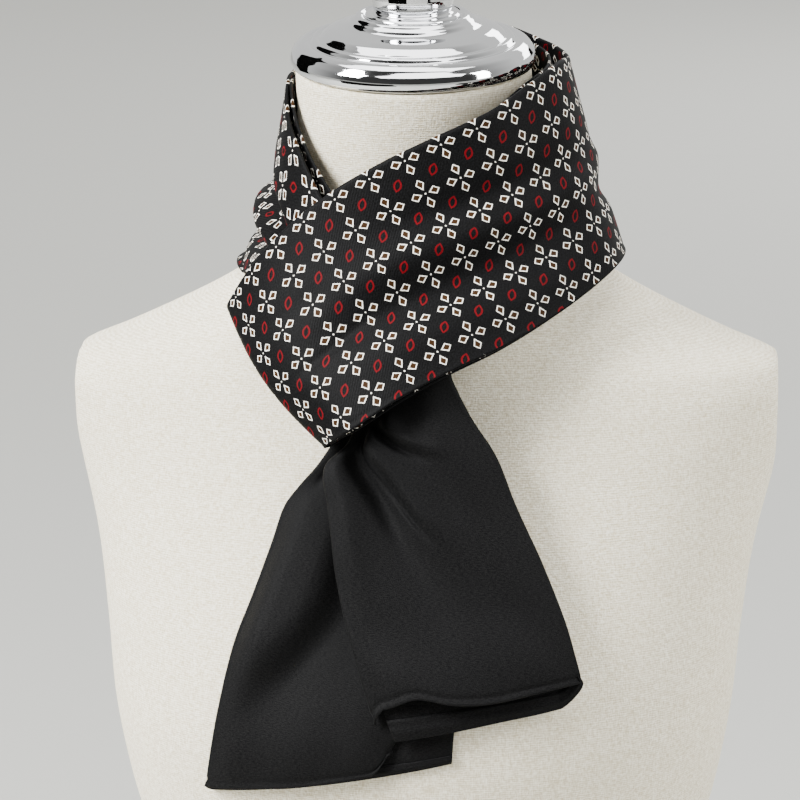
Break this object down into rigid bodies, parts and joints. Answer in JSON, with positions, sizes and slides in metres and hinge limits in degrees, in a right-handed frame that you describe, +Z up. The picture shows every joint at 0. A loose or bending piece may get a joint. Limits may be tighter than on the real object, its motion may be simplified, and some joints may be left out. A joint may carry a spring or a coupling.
{
  "type": "neck scarf on dress form",
  "caption": "Long printed silky neck scarf folded to a loop with both ends drawn through it at the front, worn on a limbless linen dress form with a turned neck cap.",
  "frame": {"origin": "centre of the dress form's flat bottom, under the upright line through the middle of its front", "axes": "+Z up; the form faces -Y and its left side is +X"},
  "size_m": [0.34, 0.2518, 0.7501],
  "materials": {
    "linen": "plain-woven cream linen cover, matt",
    "cap_metal": "polished chrome plate",
    "printed_satin": "soft black satin printed with small ivory flowers and red ovals",
    "plain_satin": "soft plain black satin, fine crosswise grain"
  },
  "bodies": {
    "root": {"dress_form": "linen", "neck_cap": "cap_metal", "cap_knob": "cap_metal", "front_band": "printed_satin", "back_wrap": "printed_satin", "left_arm": "printed_satin", "under_band": "printed_satin", "inner_wrap": "printed_satin", "inner_arm": "printed_satin", "tail_right": "plain_satin", "tail_left": "plain_satin"}
  },
  "joints": []
}
